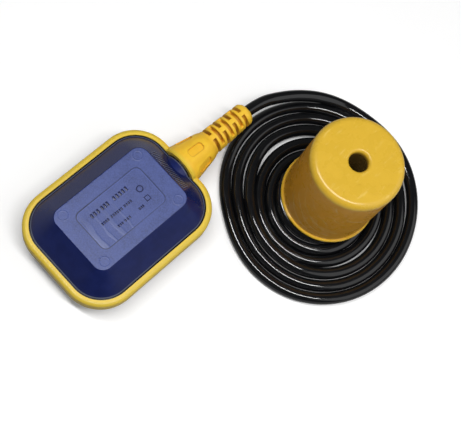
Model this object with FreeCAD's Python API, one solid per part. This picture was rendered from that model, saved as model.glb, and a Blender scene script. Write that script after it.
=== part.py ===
import FreeCAD, Part
import math
import os
from FreeCAD import Vector

# Tilting float level switch: a sealed float holding a ball-operated microswitch, its cable
# laid in a coil, and the counterweight standing on the coil.
# Millimetres.  The float lies flat: the origin is the centre of its underside, +X runs
# along the float towards the cable, +Z is up.
os.makedirs("parts", exist_ok=True)

# ---- Float body ----
float_length = 106.4
float_width = 81.7
float_height = 41.5
float_corner = 24.7        # corner radius of the rim in plan
rim_height = 10.6
rim_width = 3.9
rim_edge = 2.4             # rounding of the rim's outer edges
tongue_depth = 2.2         # welded edge of each shell, held inside the rim
tongue_thickness = 1.6
edge_gap = 0.4             # groove between the rim and the shell
edge_step = 1.0
edge_lip = 0.9             # flat lip round the foot of the slope
slope_run = 12.95
shell_wall = 2.4
face_edge = 0.9            # rounding where the slope meets the raised face
panel_length = 49.0
panel_width = 27.4
panel_corner = 4.0
panel_depth = 0.5

# ---- Grip ribs on the slope below the cable end of the raised face ----
rib_pitch = 1.2
rib_width = 0.5
rib_rise = 0.5
rib_span = 31.0            # width of the whole comb
rib_run = 5.2              # length of a rib in plan

# ---- Cable entry and moulded strain relief ----
cable_radius = 3.8
boss_radius = 10.3
boss_outer_length = 7.5    # how far it reaches out under the collar
neck_root_radius = 13.8
neck_shoulder_radius = 10.3
neck_shoulder_length = 17.0    # from the rim to the shoulder
relief_start_length = 21.5     # from the rim to the ribbed length
relief_root_radius = 8.7
relief_tip_radius = 7.5
relief_edge = 1.8
slot_width = 2.5
slot_pitch = 4.25
slot_count = 7
slot_floor_radius = 4.9
upright_slot_angle = 124.0     # slots over the top and the underside
side_slot_angle = 158.0        # slots round the two sides
slot_lead = 0.75               # plain length before the first slot
relief_end_land = 4.75         # plain collar after the last slot
pocket_length = 11.5
pocket_width = 5.4
pocket_corner = 2.0
pocket_depth = 0.9
pocket_count = 6
pocket_offset = 8.7            # from the rim to the middle of a pocket

# ---- Switch carrier inside the float ----
carrier_length = 66.0
carrier_width = 44.0
carrier_corner = 5.0
carrier_plate = 2.0
carrier_height = 21.0
post_inset_x = 4.8             # from the carrier's ends and sides to its screws
post_inset_y = 4.5
post_radius = 3.9
carrier_screw_radius = 1.5
screw_head_radius = 2.7
screw_head_height = 1.8
screw_grip = 6.5               # length of thread in a post
hole_clearance = 0.1
seat_clearance = 0.1
track_wall = 1.8
ball_radius = 7.0
ball_clearance = 0.3
ball_travel = 18.0

# ---- Microswitch ----
switch_face_x = 5.0            # face that the plunger comes out of
switch_depth = 16.0
switch_length = 28.0
switch_thickness = 10.3
switch_wall = 1.4
plunger_travel = 1.0
plunger_y = -3.0
plunger_radius = 1.5
plunger_flange_radius = 2.4
plunger_nose_radius = 0.8
plunger_nose_length = 0.7
lever_pin_radius = 0.8
lever_pin_y = 12.5
lever_curl_radius = 1.4
lever_thickness = 0.8
lever_width = 6.0
lever_length = 25.5            # from the pin to the free end
lever_gap = 0.6                # between the pressed lever and the switch face
lever_ear = 2.0
blade_thickness = 0.4
blade_width = 4.0
blade_pivot_y = 9.5
blade_bead_radius = 0.6
blade_arm = 19.0               # from the pivot to the moving contact
contact_radius = 1.3
contact_height = 0.5
contact_gap = 0.05
rivet_radius = 0.7
strip_thickness = 0.6
tab_width = 4.75
tab_length = 7.0
mount_hole_radius = 1.5
mount_pillar_radius = 2.6
mount_hole_x = 12.6            # from the plunger face
mount_hole_upper_y = 5.5
mount_hole_lower_y = -8.5
connector_wall = 0.5
connector_length = 7.0
connector_setback = 2.0        # bare tab between the case and its connector
barrel_length = 3.0
core_run = 7.5                 # length in which the cores spread out to their connectors
core_radius = 1.1
core_ring_radius = 1.75        # circle that the cores lie on inside the sheath

# ---- Cable ----
coil_lead_out = 3.3            # the coil's centre lies this far beyond the strain relief
coil_side = 71.8               # and this far to the side of the float's axis
coil_outer_radius = 69.5
coil_inner_radius = 22.0
coil_height = 13.2
coil_edge = 2.6
tail_length = 26.0             # parted cores at the free end
tail_strip = 6.0
conductor_radius = 0.6

# ---- Counterweight ----
weight_offset_x = 2.0          # from the coil's centre
weight_offset_y = -2.4
weight_height = 65.4
weight_flange_radius = 31.0
weight_flange_height = 2.4
weight_foot_radius = 27.7
weight_top_radius = 29.0
weight_edge = 4.2
weight_wall = 2.2
weight_bore_radius = 6.1
weight_bore_lip = 1.5
weight_bore_wall = 1.9
spigot_height = 4.0
spigot_wall = 2.0
ballast_height = 18.0
lock_ring_radius = 9.0
lock_ring_height = 6.0
lock_ring_gap = 3.0

# ---- Derived places ----
half_height = float_height / 2.0
middle = Vector(0.0, 0.0, half_height)
rim_end_x = float_length / 2.0
rim_inside_x = rim_end_x - rim_width
slope_inset = rim_width + edge_gap + edge_lip
slope_foot_z = rim_height / 2.0 - 0.2
slope_rise = half_height - slope_foot_z
face_inset = slope_inset + slope_run
slope_angle = math.atan2(slope_rise, slope_run)
wall_inset = shell_wall / math.sin(slope_angle)
floor_z = half_height - shell_wall
relief_start_x = rim_end_x + relief_start_length
relief_end_x = relief_start_x + slot_lead + (slot_count - 1) * slot_pitch + slot_width + relief_end_land
plate_top_z = -carrier_height / 2.0 + carrier_plate
lid_under_z = carrier_height / 2.0 - carrier_plate
switch_back_x = switch_face_x + switch_depth
connector_end_x = switch_back_x + connector_setback + connector_length
sheath_end_x = connector_end_x + barrel_length + core_run
coil_centre = Vector(relief_end_x + coil_lead_out, -coil_side, 0.0)
weight_centre = coil_centre + Vector(weight_offset_x, weight_offset_y, 0.0)
post_x = carrier_length / 2.0 - post_inset_x
post_y = carrier_width / 2.0 - post_inset_y
lever_back_x = switch_face_x - lever_gap
lever_front_x = lever_back_x - lever_thickness
lever_pin_x = lever_back_x - lever_curl_radius + 0.4
lever_swing = math.degrees(plunger_travel / (lever_pin_y - plunger_y))
ball_end_x = lever_front_x - hole_clearance - ball_radius
ball_start_x = ball_end_x - ball_travel
cavity_x = switch_face_x + switch_wall
cavity_z = switch_thickness / 2.0 - switch_wall
blade_front_x = cavity_x + strip_thickness + 2.0 * contact_height + contact_gap + seat_clearance
blade_x = blade_front_x + blade_thickness / 2.0
blade_swing = plunger_travel / (blade_pivot_y - plunger_y)
contact_y = blade_pivot_y - blade_arm
lever_free_tip_x = lever_back_x - plunger_travel + hole_clearance


def outline(inset, z):
    """The float's plan outline, drawn in by an inset, at a height."""
    half_x = float_length / 2.0 - inset
    half_y = float_width / 2.0 - inset
    return rounded_wire(half_x * 2.0, half_y * 2.0, float_corner - inset, z)


def rounded_wire(length, width, corner, z):
    """A closed rectangle with round corners, centred on the Z axis."""
    x = length / 2.0
    y = width / 2.0
    r = min(corner, x * 0.98, y * 0.98)
    s = r * math.sqrt(0.5)
    points = [
        ((x - r, -y), (x - r + s, -y + r - s), (x, -y + r)),
        ((x, y - r), (x - r + s, y - r + s), (x - r, y)),
        ((-x + r, y), (-x + r - s, y - r + s), (-x, y - r)),
        ((-x, -y + r), (-x + r - s, -y + r - s), (-x + r, -y)),
    ]
    edges = []
    for index, corner_points in enumerate(points):
        start, bulge, end = [Vector(px, py, z) for px, py in corner_points]
        following = points[(index + 1) % 4][0]
        edges.append(Part.Arc(start, bulge, end).toShape())
        edges.append(Part.LineSegment(end, Vector(following[0], following[1], z)).toShape())
    return Part.Wire(edges)


def prism(wire, height):
    """A straight prism on a closed wire."""
    return Part.Face(wire).extrude(Vector(0, 0, height))


def block(x0, x1, y0, y1, z0, z1):
    """A box between two corners."""
    return Part.makeBox(x1 - x0, y1 - y0, z1 - z0, Vector(x0, y0, z0))


def rod(radius, length, start, direction=Vector(0, 0, 1)):
    """A round bar from a point along a direction."""
    return Part.makeCylinder(radius, length, start, direction)


def turned(points, axis=Vector(0, 0, 1)):
    """A solid turned from a closed profile about an axis through the origin."""
    return Part.Face(Part.makePolygon(points + [points[0]])).revolve(Vector(0, 0, 0), axis, 360)


def mirrored_down(shape):
    """The same shape below the float's middle plane."""
    return shape.mirror(Vector(0, 0, 0), Vector(0, 0, 1))


def post_places():
    """Centres of the four posts that hold the carrier."""
    return [Vector(side * post_x, end * post_y, 0) for side in (-1, 1) for end in (-1, 1)]


def pipe(points, radius):
    """A round tube along straight runs joined by tangent arcs; returns it with its length and bends."""
    edges = []
    bends = []
    last = points[0]
    for before, corner, after in zip(points, points[1:], points[2:]):
        inward = (before - corner).normalize()
        outward = (after - corner).normalize()
        half_turn = (math.pi - inward.getAngle(outward)) / 2.0
        setback = 0.45 * min(before.distanceToPoint(corner), after.distanceToPoint(corner))
        bend = setback / math.tan(half_turn)
        bends.append(bend)
        arc_start = corner + inward * setback
        arc_end = corner + outward * setback
        middle_way = (inward + outward).normalize()
        depth = bend / math.cos(half_turn) - bend
        arc_middle = corner + middle_way * depth
        edges.append(Part.LineSegment(last, arc_start).toShape())
        edges.append(Part.Arc(arc_start, arc_middle, arc_end).toShape())
        last = arc_end
    edges.append(Part.LineSegment(last, points[-1]).toShape())
    path = Part.Wire(edges)
    start_direction = points[1] - points[0]
    section = Part.Wire([Part.makeCircle(radius, points[0], start_direction)])
    tube = path.makePipeShell([section], True, False)
    return tube, path.Length, bends


# ---------------------------------------------------------------- float shells
def comb():
    """Fine ribs that run up the slope on the cable side, centred on the middle plane's axis."""
    top_x = float_length / 2.0 - face_inset + 1.4
    foot_x = top_x + rib_run
    fall = math.tan(slope_angle)

    def slope_z(x):
        return half_height - (x - (float_length / 2.0 - face_inset)) * fall

    lift = rib_rise / math.cos(slope_angle)
    profile = [
        Vector(top_x, 0, slope_z(top_x) - 0.6),
        Vector(top_x, 0, slope_z(top_x)),
        Vector(top_x + 0.5, 0, slope_z(top_x + 0.5) + lift),
        Vector(foot_x - 0.5, 0, slope_z(foot_x - 0.5) + lift),
        Vector(foot_x, 0, slope_z(foot_x)),
        Vector(foot_x, 0, slope_z(foot_x) - 0.6),
    ]
    rib = Part.Face(Part.makePolygon(profile + [profile[0]])).extrude(Vector(0, rib_width, 0))
    count = int(rib_span / rib_pitch)
    first = -(count - 1) * rib_pitch / 2.0 - rib_width / 2.0
    return [rib.translated(Vector(0, first + index * rib_pitch, 0)) for index in range(count)]


def shell_outside():
    """Outer form of one half: welded edge, stepped lip, slope and raised face."""
    tongue = prism(outline(rim_width - tongue_depth, 0), tongue_thickness)
    skirt = prism(outline(rim_width, 0), rim_height / 2.0 - edge_step)
    lip = prism(outline(rim_width + edge_gap, 0), slope_foot_z)
    slope = Part.makeLoft([outline(slope_inset, slope_foot_z), outline(face_inset, half_height)], True, True)
    face_edges = [edge for edge in slope.Edges if edge.BoundBox.ZMin > half_height - 0.001]
    slope = slope.makeFillet(face_edge, face_edges)
    return tongue.fuse([skirt, lip, slope])


def shell_inside():
    """Hollow of one half, a wall's thickness inside the outer form."""
    meeting_inset = rim_width + shell_wall
    shift = (slope_inset + wall_inset - meeting_inset) * math.tan(slope_angle)
    meeting_z = slope_foot_z - shift
    top_inset = face_inset - shell_wall / math.tan(slope_angle) + wall_inset
    straight = prism(outline(meeting_inset, 0), meeting_z)
    sloped = Part.makeLoft([outline(meeting_inset, meeting_z), outline(top_inset, floor_z)], True, True)
    return straight.fuse(sloped)


def half_boss(radius, start_x, end_x):
    """Upper half of a bar along the cable's axis."""
    bar = rod(radius, end_x - start_x, Vector(start_x, 0, 0), Vector(1, 0, 0))
    return bar.common(block(start_x, end_x, -radius, radius, 0, radius))


def float_half():
    """One blue shell, drawn with the weld plane at z = 0 and the raised face at the top."""
    body = shell_outside()
    hollow = shell_inside()
    boss_end = rim_end_x + boss_outer_length
    body = body.fuse(half_boss(boss_radius, sheath_end_x, boss_end))
    inner_boss = half_boss(boss_radius, sheath_end_x, rim_inside_x)
    body = body.cut(hollow.cut(inner_boss))
    panel = prism(rounded_wire(panel_length, panel_width, panel_corner, half_height - panel_depth), panel_depth)
    body = body.cut(panel)
    posts = []
    for place in post_places():
        foot = place + Vector(0, 0, carrier_height / 2.0 + hole_clearance)
        post = rod(post_radius, floor_z + 0.5 - foot.z, foot)
        posts.append(post)
    body = body.fuse(posts + comb())
    wells = [
        rod(screw_head_radius + hole_clearance, screw_head_height + 0.4, place + Vector(0, 0, carrier_height / 2.0))
        for place in post_places()
    ]
    body = body.cut(wells)
    bore = rod(cable_radius, boss_end - sheath_end_x, Vector(sheath_end_x, 0, 0), Vector(1, 0, 0))
    return body.cut(bore).removeSplitter()


def upper_float_shell():
    """Blue shell above the weld plane."""
    return float_half().translated(middle)


def lower_float_shell():
    """Blue shell below the weld plane, with screw holes in its posts."""
    shell = mirrored_down(float_half())
    holes = [
        rod(carrier_screw_radius, screw_grip, place + Vector(0, 0, -carrier_height / 2.0 - screw_grip))
        for place in post_places()
    ]
    return shell.cut(holes).translated(middle)


# ---------------------------------------------------------------- rim, neck and strain relief
def neck_profile(skin):
    """Half section of the neck and strain relief, drawn in by a skin's thickness."""
    neck_end = relief_start_x
    return [
        Vector(rim_inside_x, 0, 0),
        Vector(rim_inside_x, 0, neck_root_radius - 0.6 - skin),
        Vector(rim_inside_x + 0.8, 0, neck_root_radius - skin),
        Vector(rim_end_x, 0, neck_root_radius - 0.2 - skin),
        Vector(rim_end_x + neck_shoulder_length, 0, neck_shoulder_radius - skin),
        Vector(rim_end_x + neck_shoulder_length + 2.0, 0, neck_shoulder_radius - 0.5 - skin),
        Vector(neck_end - 0.6, 0, relief_root_radius + 0.2 - skin),
        Vector(neck_end, 0, relief_root_radius - skin),
        Vector(relief_end_x - relief_edge, 0, relief_tip_radius - skin),
        Vector(relief_end_x, 0, relief_tip_radius - relief_edge * 0.8 - skin),
        Vector(relief_end_x, 0, 0),
    ]


def neck_solid(skin=0.0):
    """Neck and strain relief without slots."""
    return turned(neck_profile(skin), Vector(1, 0, 0))


def relief_slots():
    """Staggered slots: side, upright, side, and so on along the relief."""
    slots = []
    outer = relief_root_radius + 2.0
    for index in range(slot_count):
        x = relief_start_x + slot_lead + index * slot_pitch
        on_side = index % 2 == 0
        span = side_slot_angle if on_side else upright_slot_angle
        for turn in (0, 180):
            centre_angle = turn + (0 if on_side else 90)
            sector = Part.makeCylinder(outer, slot_width, Vector(0, 0, 0), Vector(0, 0, 1), span)
            sector.rotate(Vector(0, 0, 0), Vector(0, 0, 1), centre_angle - span / 2.0)
            sector.rotate(Vector(0, 0, 0), Vector(0, 1, 0), 90)
            sector.rotate(Vector(0, 0, 0), Vector(1, 0, 0), 90)
            sector.translate(Vector(x, 0, 0))
            core = rod(slot_floor_radius, slot_width, Vector(x, 0, 0), Vector(1, 0, 0))
            slots.append(sector.cut(core))
    return slots


def neck_pockets():
    """Shallow rounded pockets round the neck."""
    inner = neck_solid(pocket_depth)
    pockets = []
    middle_x = rim_end_x + pocket_offset
    plan = prism(rounded_wire(pocket_length, pocket_width, pocket_corner, 0), neck_root_radius + 1.0)
    for index in range(pocket_count):
        cutter = plan.translated(Vector(middle_x, 0, 0))
        cutter.rotate(Vector(0, 0, 0), Vector(1, 0, 0), index * 360.0 / pocket_count)
        pockets.append(cutter.cut(inner))
    return pockets


def sealing_rim():
    """Yellow moulding: the band round both shells, the neck and the ribbed strain relief."""
    half = rim_height / 2.0
    band = prism(outline(0, -half), rim_height)
    edges = [edge for edge in band.Edges if abs(abs(edge.CenterOfMass.z) - half) < 0.001]
    band = band.makeFillet(rim_edge, edges)
    inside = prism(outline(rim_width, -half - 1.0), rim_height + 2.0)
    tongue = prism(outline(rim_width - tongue_depth, -tongue_thickness), 2.0 * tongue_thickness)
    boss_end = rim_end_x + boss_outer_length
    neck = neck_solid().cut(neck_pockets()).cut(relief_slots())
    boss = rod(boss_radius, boss_end - rim_inside_x, Vector(rim_inside_x, 0, 0), Vector(1, 0, 0))
    sheath = rod(cable_radius, relief_end_x - rim_inside_x, Vector(rim_inside_x, 0, 0), Vector(1, 0, 0))
    collar = band.cut(inside).fuse(neck).cut([tongue, boss, sheath])
    return collar.removeSplitter().translated(middle)


# ---------------------------------------------------------------- switch carrier
def track_walls(sign):
    """Side walls, floor and end walls of the ball's channel on one side of the middle plane."""
    half_track = ball_radius + ball_clearance
    start = ball_start_x - ball_radius - ball_clearance
    end = ball_end_x + ball_radius - 3.0
    depth = abs(plate_top_z)
    floor = block(start, end, -half_track, half_track, half_track, depth)
    left = block(start - track_wall, end, half_track, half_track + track_wall, seat_clearance, depth)
    right = left.mirror(Vector(0, 0, 0), Vector(0, 1, 0))
    stop = block(start - track_wall, start, -half_track, half_track, seat_clearance, depth)
    walls = floor.fuse([left, right, stop])
    return walls if sign > 0 else mirrored_down(walls)


def mount_places():
    """Centres of the two microswitch screws."""
    x = switch_face_x + mount_hole_x
    return [Vector(x, mount_hole_upper_y, 0), Vector(x, mount_hole_lower_y, 0)]


def switch_carrier():
    """Lower tray: plate, lower half of the ball's channel and the microswitch's seat."""
    plate = prism(rounded_wire(carrier_length, carrier_width, carrier_corner, -carrier_height / 2.0), carrier_plate)
    seat_top = -switch_thickness / 2.0
    half_switch = switch_length / 2.0
    seat = block(switch_face_x, switch_back_x, -half_switch, half_switch, plate_top_z, seat_top)
    seat = seat.cut(block(switch_face_x + track_wall, switch_back_x - track_wall,
                          -half_switch + track_wall, half_switch - track_wall, plate_top_z, seat_top))
    bosses = [rod(mount_pillar_radius, seat_top - plate_top_z, place + Vector(0, 0, plate_top_z)) for place in mount_places()]
    fence_y = half_switch + seat_clearance
    fence = block(switch_face_x + 3.0, switch_back_x - 3.0, fence_y, fence_y + track_wall, plate_top_z, seat_top + 4.0)
    other_fence = fence.mirror(Vector(0, 0, 0), Vector(0, 1, 0))
    body = plate.fuse([track_walls(-1), seat, fence, other_fence] + bosses)
    holes = [rod(mount_hole_radius, carrier_height / 2.0, place + Vector(0, 0, -carrier_height / 2.0 + 0.8))
             for place in mount_places()]
    clear = carrier_screw_radius + hole_clearance
    holes += [rod(clear, carrier_plate, place + Vector(0, 0, -carrier_height / 2.0)) for place in post_places()]
    return body.cut(holes).translated(middle)


def carrier_lid():
    """Lid: plate, upper half of the ball's channel and four sleeves down to the tray."""
    plate = prism(rounded_wire(carrier_length, carrier_width, carrier_corner, lid_under_z), carrier_plate)
    sleeves = [rod(screw_head_radius + 0.6, lid_under_z - plate_top_z, place + Vector(0, 0, plate_top_z))
               for place in post_places()]
    body = plate.fuse([track_walls(1)] + sleeves)
    clear = carrier_screw_radius + hole_clearance
    holes = [rod(clear, carrier_height, place + Vector(0, 0, plate_top_z)) for place in post_places()]
    return body.cut(holes).translated(middle)


def pan_screw(radius, length, seat):
    """A pan-head screw with a cross recess, seated on a face, pointing down."""
    shank = rod(radius, length, seat - Vector(0, 0, length))
    flat = screw_head_height * 0.55
    head = rod(screw_head_radius, flat, seat)
    crown = Part.makeCone(screw_head_radius, screw_head_radius * 0.7, screw_head_height - flat, seat + Vector(0, 0, flat))
    head = head.fuse(crown)
    arm = screw_head_radius * 0.6
    cross = block(-arm, arm, -0.3, 0.3, 0, 1.0).fuse(block(-0.3, 0.3, -arm, arm, 0, 1.0))
    cross.translate(seat + Vector(0, 0, screw_head_height - 0.9))
    return shank.fuse(head).cut(cross)


def carrier_screws():
    """Four long screws through lid, sleeves and tray into the lower shell's posts."""
    length = carrier_height + screw_grip - 0.3
    screws = [pan_screw(carrier_screw_radius, length, place + Vector(0, 0, carrier_height / 2.0)) for place in post_places()]
    return Part.makeCompound(screws).translated(middle)


def steel_ball():
    """The ball at the far end of its channel, away from the lever."""
    return Part.makeSphere(ball_radius, Vector(ball_start_x, 0, 0)).translated(middle)


# ---------------------------------------------------------------- microswitch
def ear_holes():
    """Hole for the lever's pin through both ears."""
    return rod(lever_pin_radius, switch_thickness, Vector(lever_pin_x, lever_pin_y, -switch_thickness / 2.0))


def tab_places():
    """Middle of each contact strip's thickness: common, normally open and normally closed."""
    half_cavity = switch_length / 2.0 - switch_wall
    return {
        "common": blade_pivot_y + 1.1,
        "open": (mount_hole_upper_y + mount_hole_lower_y) / 2.0 - 2.2,
        "closed": -half_cavity + strip_thickness / 2.0 + seat_clearance,
    }


def tab_strip(y, start_x):
    """Flat strip that runs out through the back of the case."""
    half = strip_thickness / 2.0
    return block(start_x, switch_back_x + tab_length, y - half, y + half, -tab_width / 2.0, tab_width / 2.0)


def switch_box(z0, z1):
    """Plain box of the microswitch's plan between two heights."""
    half = switch_length / 2.0
    return block(switch_face_x, switch_back_x, -half, half, z0, z1)


def microswitch_case():
    """Case with its cavity, ears, plunger hole, terminal slots and screw pillars."""
    half = switch_length / 2.0
    low = -switch_thickness / 2.0
    body = switch_box(low, cavity_z)
    cavity = block(cavity_x, switch_back_x - switch_wall, -half + switch_wall, half - switch_wall, -cavity_z, cavity_z)
    body = body.cut(cavity)
    body = body.fuse([rod(mount_pillar_radius, 2.0 * cavity_z, place + Vector(0, 0, -cavity_z)) for place in mount_places()])
    reach = lever_pin_x - lever_curl_radius
    inner = lever_width / 2.0 + seat_clearance
    ears = []
    for z0, z1 in ((low, -inner), (inner, cavity_z + switch_wall)):
        ears.append(block(reach, switch_face_x, lever_pin_y - lever_ear + 0.4, half, z0, z1))
    body = body.fuse(ears).cut(ear_holes())
    plunger_hole = rod(plunger_radius + hole_clearance, switch_wall + 1.0, Vector(switch_face_x - 0.5, plunger_y, 0), Vector(1, 0, 0))
    holes = [rod(mount_hole_radius + hole_clearance, switch_thickness, place + Vector(0, 0, low)) for place in mount_places()]
    slots = [tab_strip(y, switch_back_x - switch_wall) for y in tab_places().values()]
    return body.cut([plunger_hole] + holes + slots).translated(middle)


def microswitch_cover():
    """Cover plate that closes the case."""
    cover = switch_box(cavity_z, switch_thickness / 2.0)
    holes = [rod(mount_hole_radius + hole_clearance, switch_wall + 1.0, place + Vector(0, 0, cavity_z - 0.5)) for place in mount_places()]
    return cover.cut(holes).translated(middle)


def microswitch_screws():
    """Two screws that hold the microswitch on the tray."""
    length = switch_thickness / 2.0 + carrier_height / 2.0 - 1.0
    screws = [pan_screw(mount_hole_radius, length, place + Vector(0, 0, switch_thickness / 2.0)) for place in mount_places()]
    return Part.makeCompound(screws).translated(middle)


def switch_lever():
    """Lever on its pin, turned to the free position."""
    half = lever_width / 2.0
    plate = block(lever_front_x, lever_back_x, lever_pin_y - lever_length, lever_pin_y, -half, half)
    curl = rod(lever_curl_radius, lever_width, Vector(lever_pin_x, lever_pin_y, -half))
    lever = plate.fuse(curl).cut(rod(lever_pin_radius + 0.05, lever_width, Vector(lever_pin_x, lever_pin_y, -half)))
    lever.rotate(Vector(lever_pin_x, lever_pin_y, 0), Vector(0, 0, 1), -lever_swing)
    return lever.translated(middle)


def lever_pin():
    """Pin through the ears and the lever."""
    return ear_holes().translated(middle)


def switch_plunger():
    """Plunger in its free position: bevelled tip, shank, inner flange and the nose on the blade."""
    tip_x = lever_free_tip_x
    back_x = blade_front_x - hole_clearance
    flange_x = cavity_x + hole_clearance
    along = Vector(1, 0, 0)
    flange_end_x = back_x - plunger_nose_length
    shank = rod(plunger_radius, flange_x - tip_x, Vector(tip_x, plunger_y, 0), along)
    tip_edges = [edge for edge in shank.Edges if edge.BoundBox.XMax < tip_x + 0.001]
    shank = shank.makeChamfer(0.4, tip_edges)
    flange = rod(plunger_flange_radius, flange_end_x - flange_x, Vector(flange_x, plunger_y, 0), along)
    nose = rod(plunger_nose_radius, plunger_nose_length, Vector(flange_end_x, plunger_y, 0), along)
    return shank.fuse([flange, nose]).translated(middle)


def contact_blade():
    """Blade that swings between the two fixed contacts."""
    half = blade_width / 2.0
    end_y = contact_y - contact_radius - 0.3
    strip = block(blade_front_x, blade_front_x + blade_thickness, end_y, blade_pivot_y, -half, half)
    bead = rod(blade_bead_radius, blade_width, Vector(blade_x, blade_pivot_y, -half))
    hole = rod(rivet_radius, blade_thickness, Vector(blade_front_x, contact_y, 0), Vector(1, 0, 0))
    return strip.fuse(bead).cut(hole).translated(middle)


def moving_contact():
    """Riveted contact with a head on each side of the blade."""
    along = Vector(1, 0, 0)
    near = rod(contact_radius, contact_height, Vector(blade_front_x - contact_height, contact_y, 0), along)
    far = rod(contact_radius, contact_height, Vector(blade_front_x + blade_thickness, contact_y, 0), along)
    shank = rod(rivet_radius, blade_thickness, Vector(blade_front_x, contact_y, 0), along)
    return near.fuse([far, shank]).translated(middle)


def closed_face_x():
    """Face of the fixed contact that the free blade rests on."""
    return blade_front_x - contact_height - contact_gap


def open_face_x():
    """Face of the fixed contact that the pressed blade reaches."""
    swing = blade_arm * math.sin(blade_swing) + contact_radius * math.sin(blade_swing)
    return blade_front_x + blade_thickness + contact_height + swing + contact_gap


def common_terminal():
    """Common strip with the socket that the blade's bead turns in."""
    y = tab_places()["common"]
    socket_back = y + strip_thickness / 2.0
    half = tab_width / 2.0
    socket = block(blade_x - 1.0, blade_x + 1.6, blade_pivot_y, socket_back, -half, half)
    cup = rod(blade_bead_radius + hole_clearance, tab_width, Vector(blade_x, blade_pivot_y, -half))
    return socket.fuse(tab_strip(y, blade_x + 1.0)).cut(cup).translated(middle)


def normally_open_terminal():
    """Strip whose end turns along the blade, behind it."""
    y = tab_places()["open"]
    x = open_face_x() + contact_height
    half = tab_width / 2.0
    foot = block(x, x + strip_thickness, contact_y - contact_radius, y + strip_thickness / 2.0, -half, half)
    return foot.fuse(tab_strip(y, x)).translated(middle)


def normally_closed_terminal():
    """Strip that runs round the blade's end to its front."""
    y = tab_places()["closed"]
    x = closed_face_x() - contact_height
    half = tab_width / 2.0
    foot = block(x - strip_thickness, x, y - strip_thickness / 2.0, contact_y + contact_radius, -half, half)
    return foot.fuse(tab_strip(y, x - strip_thickness)).translated(middle)


def fixed_contacts():
    """Contact buttons on the two fixed strips."""
    along = Vector(1, 0, 0)
    front = rod(contact_radius, contact_height, Vector(closed_face_x() - contact_height, contact_y, 0), along)
    back = rod(contact_radius, contact_height, Vector(open_face_x(), contact_y, 0), along)
    return Part.makeCompound([front, back]).translated(middle)


def tab_connectors():
    """Push-on connectors over the three tabs."""
    start = switch_back_x + connector_setback
    end = connector_end_x
    half_y = strip_thickness / 2.0 + connector_wall
    half_z = tab_width / 2.0 + connector_wall
    connectors = []
    for y in tab_places().values():
        sleeve = block(start, end, y - half_y, y + half_y, -half_z, half_z)
        barrel = rod(core_radius + connector_wall, barrel_length, Vector(end, y, 0), Vector(1, 0, 0))
        bore = rod(core_radius, barrel_length - connector_wall, Vector(end + connector_wall, y, 0), Vector(1, 0, 0))
        connectors.append(sleeve.fuse(barrel).cut([tab_strip(y, switch_back_x), bore]))
    return Part.makeCompound(connectors).translated(middle)


# ---------------------------------------------------------------- wiring inside the float
def core_seats():
    """Where each core leaves the sheath: brown, blue and black, round the cable's axis."""
    seats = {}
    for name, turn in (("common", 90), ("open", 210), ("closed", 330)):
        angle = math.radians(turn)
        seats[name] = Vector(sheath_end_x, core_ring_radius * math.sin(angle), core_ring_radius * math.cos(angle))
    return seats


def inner_core(name):
    """One insulated core from the sheath's end to its connector."""
    start = core_seats()[name]
    y = tab_places()[name]
    end_x = connector_end_x + connector_wall
    reach = sheath_end_x - end_x
    points = [
        start,
        start - Vector(reach * 0.3, 0, 0),
        Vector(end_x + reach * 0.42, y, 0),
        Vector(end_x, y, 0),
    ]
    return pipe(points, core_radius)[0].translated(middle)


def cable_sheath_end():
    """Sheathed cable held inside the neck and the boss."""
    length = relief_end_x - sheath_end_x
    return rod(cable_radius, length, Vector(sheath_end_x, 0, 0), Vector(1, 0, 0)).translated(middle)


# ---------------------------------------------------------------- free cable
def lead_points():
    """Route of the cable from the strain relief round into the outside of the coil."""
    return [
        Vector(relief_end_x, 0, half_height),
        Vector(relief_end_x + 15.0, 0, half_height),
        Vector(relief_end_x + 29.5, -4.6, half_height - 1.8),
        Vector(relief_end_x + 43.0, -11.5, half_height - 6.2),
        Vector(relief_end_x + 54.0, -21.5, half_height - 11.2),
        Vector(relief_end_x + 61.5, -34.8, half_height - 15.2),
        Vector(relief_end_x + 65.4, -49.6, cable_radius),
    ]


def cable_lead():
    """Free cable between the strain relief and the coil."""
    tube, length, bends = pipe(lead_points(), cable_radius)
    expected = math.pi * cable_radius ** 2 * length
    print("cable lead: length %.1f, volume ratio %.4f" % (length, tube.Volume / expected))
    print("bend radii:", ", ".join("%.1f" % bend for bend in bends))
    return tube


def cable_coil():
    """Outer shape of the coiled cable: a flat ring with bevelled edges."""
    profile = [
        Vector(coil_inner_radius, 0, coil_edge),
        Vector(coil_inner_radius + coil_edge, 0, 0),
        Vector(coil_outer_radius - coil_edge, 0, 0),
        Vector(coil_outer_radius, 0, coil_edge),
        Vector(coil_outer_radius, 0, coil_height - coil_edge),
        Vector(coil_outer_radius - coil_edge, 0, coil_height),
        Vector(coil_inner_radius + coil_edge, 0, coil_height),
        Vector(coil_inner_radius, 0, coil_height - coil_edge),
    ]
    return turned(profile).translated(coil_centre)


def tail_direction(index):
    """Direction of one parted core at the cable's free end."""
    spread = math.radians((index - 1) * 14.0)
    return Vector(math.sin(spread), math.cos(spread), 0)


def tail_start(index):
    """Foot of one parted core, at the coil's inside, lying on the surface."""
    side = (index - 1) * 2.0 * core_radius * 1.15
    inside_y = math.sqrt(coil_inner_radius ** 2 - side ** 2)
    return coil_centre + Vector(side, -inside_y, core_radius)


def tail_core(index):
    """One parted core of the free end."""
    return rod(core_radius, tail_length, tail_start(index), tail_direction(index))


def copper_ends():
    """Stripped copper at the ends of the three parted cores."""
    ends = []
    for index in range(3):
        direction = tail_direction(index)
        ends.append(rod(conductor_radius, tail_strip, tail_start(index) + direction * tail_length, direction))
    return Part.makeCompound(ends)


# ---------------------------------------------------------------- counterweight
def ring_about_weight(outer, inner, z0, z1):
    """A plain ring about the counterweight's axis."""
    return rod(outer, z1 - z0, Vector(0, 0, z0)).cut(rod(inner, z1 - z0, Vector(0, 0, z0)))


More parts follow.
